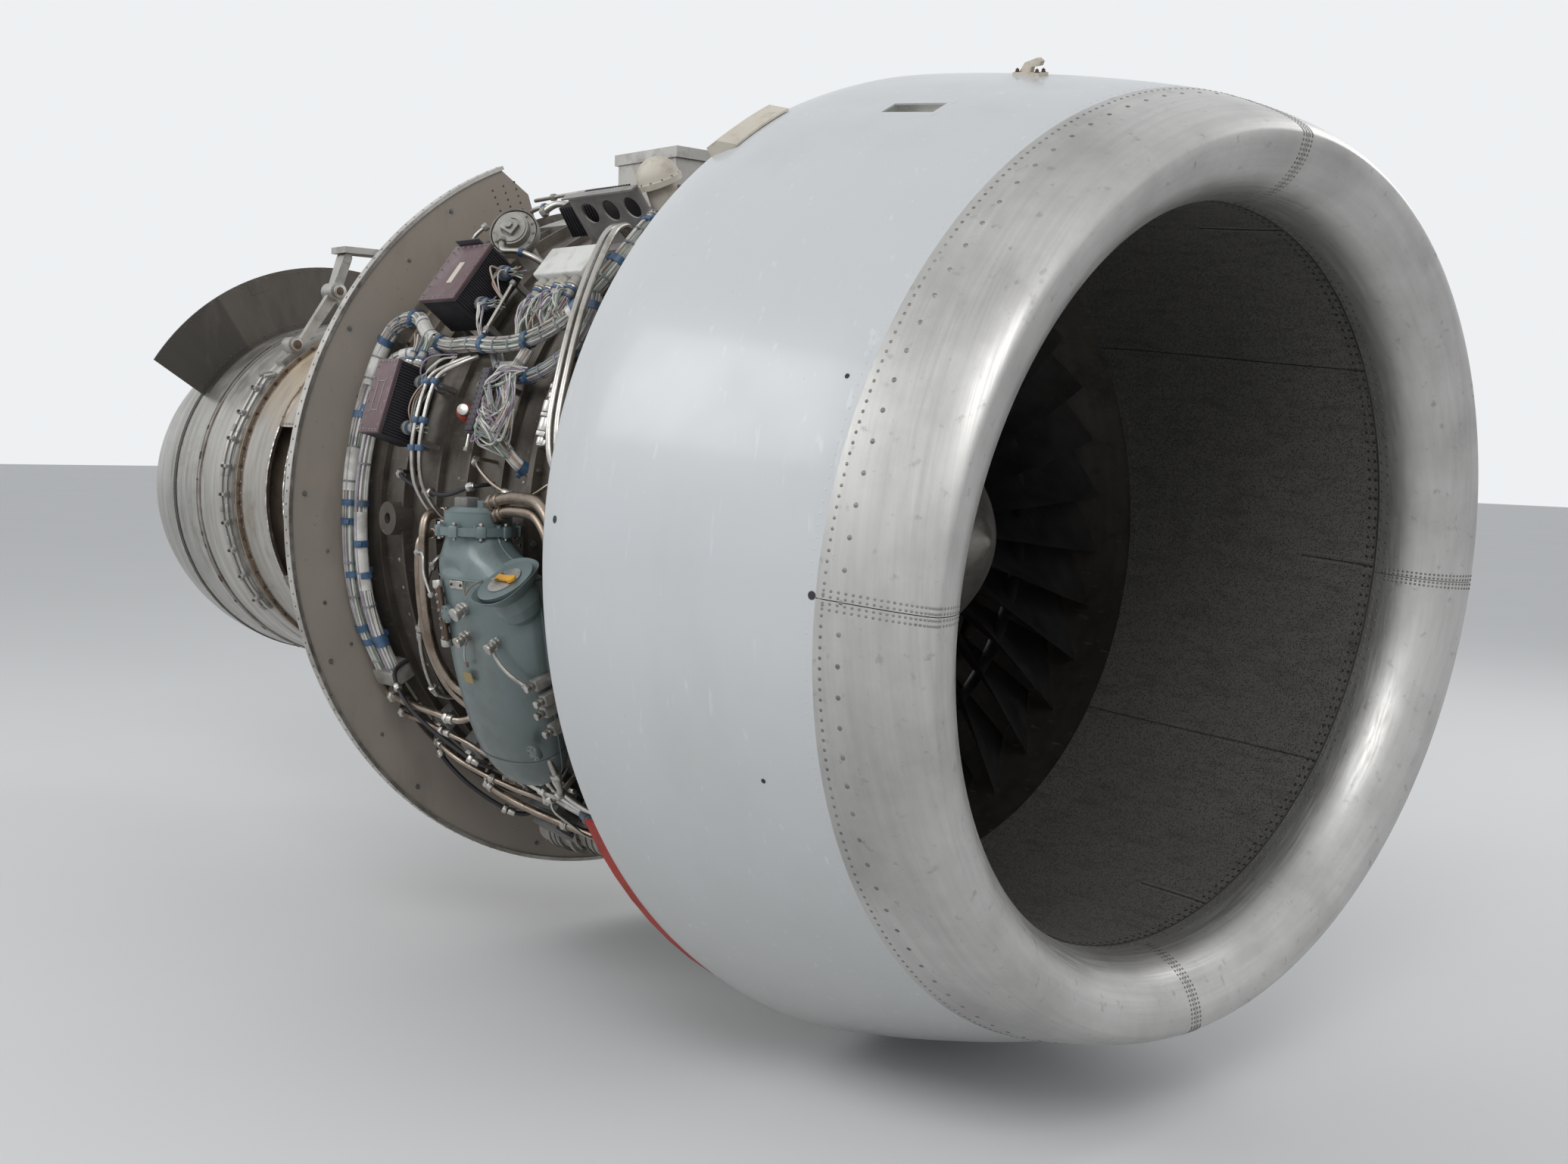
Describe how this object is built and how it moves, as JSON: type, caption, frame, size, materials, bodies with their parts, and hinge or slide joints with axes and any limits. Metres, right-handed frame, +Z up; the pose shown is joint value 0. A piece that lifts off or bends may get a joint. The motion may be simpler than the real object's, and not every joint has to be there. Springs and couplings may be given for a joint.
{
  "type": "aircraft turbofan jet engine",
  "caption": "Three-shaft turbofan aircraft engine with drooped metal-lipped intake, bare fan case with oil tank, boxes and harness, slim core, open nozzle.",
  "frame": {"origin": "top face of the front mount pad, at the centre of its four bolt holes", "axes": "+X forward along the engine axis, +Z up, +Y to the engine's left; the engine axis runs 1.150 m below the origin"},
  "size_m": [5.2638, 2.499, 2.5644],
  "materials": {
    "polished_lip": "brushed, riveted",
    "cowl_paint": "satin pale grey",
    "liner": "perforated, dull",
    "primer": "matt",
    "seal_red": "matt",
    "case_metal": "dull",
    "ring_grey": "satin",
    "core_metal": "heat stained",
    "tan_panel": "matt",
    "rusty_bolts": "heat browned",
    "pipe_steel": "satin",
    "dark_web": "matt",
    "mount_metal": "satin",
    "bearing_steel": "ground",
    "blade_metal": "dark satin",
    "spinner_paint": "worn",
    "rotor_metal": "machined",
    "tank_green": "satin grey green",
    "cap_metal": "satin",
    "lever_yellow": "gloss",
    "box_maroon": "satin",
    "box_pale": "satin",
    "bracket_grey": "matt",
    "valve_metal": "cast",
    "strip_dark": "satin",
    "braid": "metal braid over cable",
    "clamp_blue": "matt",
    "gearbox_cast": "cast and painted"
  },
  "bodies": {
    "engine": {"intake_lip": "polished_lip", "intake_cowl": "cowl_paint", "flush_scoop": "cowl_paint", "crown_fittings": "cowl_paint", "intake_barrel": "liner", "lip_bulkhead": "primer", "intake_rear_ring": "primer", "seal_strip": "seal_red", "fan_case": "case_metal", "rear_fan_case": "case_metal", "intermediate_case": "case_metal", "splitter_fairing": "case_metal", "outlet_vanes": "case_metal", "front_bearing_housing": "case_metal", "bulkhead_ring": "ring_grey", "ip_compressor_case": "core_metal", "core_compressor_case": "core_metal", "combustion_case": "core_metal", "combustor": "core_metal", "turbine_case": "core_metal", "turbine_bearing_support": "core_metal", "exhaust_case": "core_metal", "core_fairing": "core_metal", "core_rear_panel": "tan_panel", "joint_bolts": "rusty_bolts", "jet_pipe": "pipe_steel", "exhaust_nozzle": "pipe_steel", "exhaust_plug": "pipe_steel", "small_pipes": "pipe_steel", "oil_pipes": "pipe_steel", "fuel_nozzles": "pipe_steel", "upper_rear_web": "dark_web", "rear_mount": "mount_metal", "front_mount": "mount_metal", "bearings": "bearing_steel", "oil_tank": "tank_green", "tank_top_cap": "tank_green", "filler_neck": "tank_green", "upper_control_box": "box_maroon", "lower_control_box": "box_maroon", "small_boxes": "box_pale", "holed_bracket": "bracket_grey", "pressure_valve": "valve_metal", "connectors": "valve_metal", "terminal_strip": "strip_dark", "harness": "braid", "harness_clamps": "clamp_blue", "accessory_gearbox": "gearbox_cast", "gearbox_units": "gearbox_cast"},
    "lp_spool": {"spinner": "spinner_paint", "fan_disc": "blade_metal", "fan_blades": "blade_metal", "lp_shaft": "rotor_metal", "lp_turbine": "rotor_metal"},
    "ip_spool": {"ip_rotor": "rotor_metal", "ip_turbine": "rotor_metal"},
    "core_spool": {"core_rotor": "rotor_metal", "core_turbine": "rotor_metal"},
    "filler_cap": {"filler_cap": "cap_metal"},
    "filler_lever": {"filler_lever": "lever_yellow"}
  },
  "joints": [
    {"name": "lp_spool_spin", "type": "hinge", "parent": "engine", "child": "lp_spool", "pos_m": [0, 0, -1.15], "axis": [1, 0, 0], "continuous": true},
    {"name": "ip_spool_spin", "type": "hinge", "parent": "engine", "child": "ip_spool", "pos_m": [0, 0, -1.15], "axis": [1, 0, 0], "continuous": true},
    {"name": "core_spool_spin", "type": "hinge", "parent": "engine", "child": "core_spool", "pos_m": [0, 0, -1.15], "axis": [1, 0, 0], "continuous": true},
    {"name": "filler_cap_lift", "type": "slide", "parent": "engine", "child": "filler_cap", "axis": [0, -0.5878, 0.809], "range_m": [0, 0.12]},
    {"name": "filler_lever_turn", "type": "hinge", "parent": "filler_cap", "child": "filler_lever", "pos_m": [0.798, -1.1493, -1.2537], "axis": [0, -0.809, -0.5878], "range_deg": [0, 95]}
  ]
}
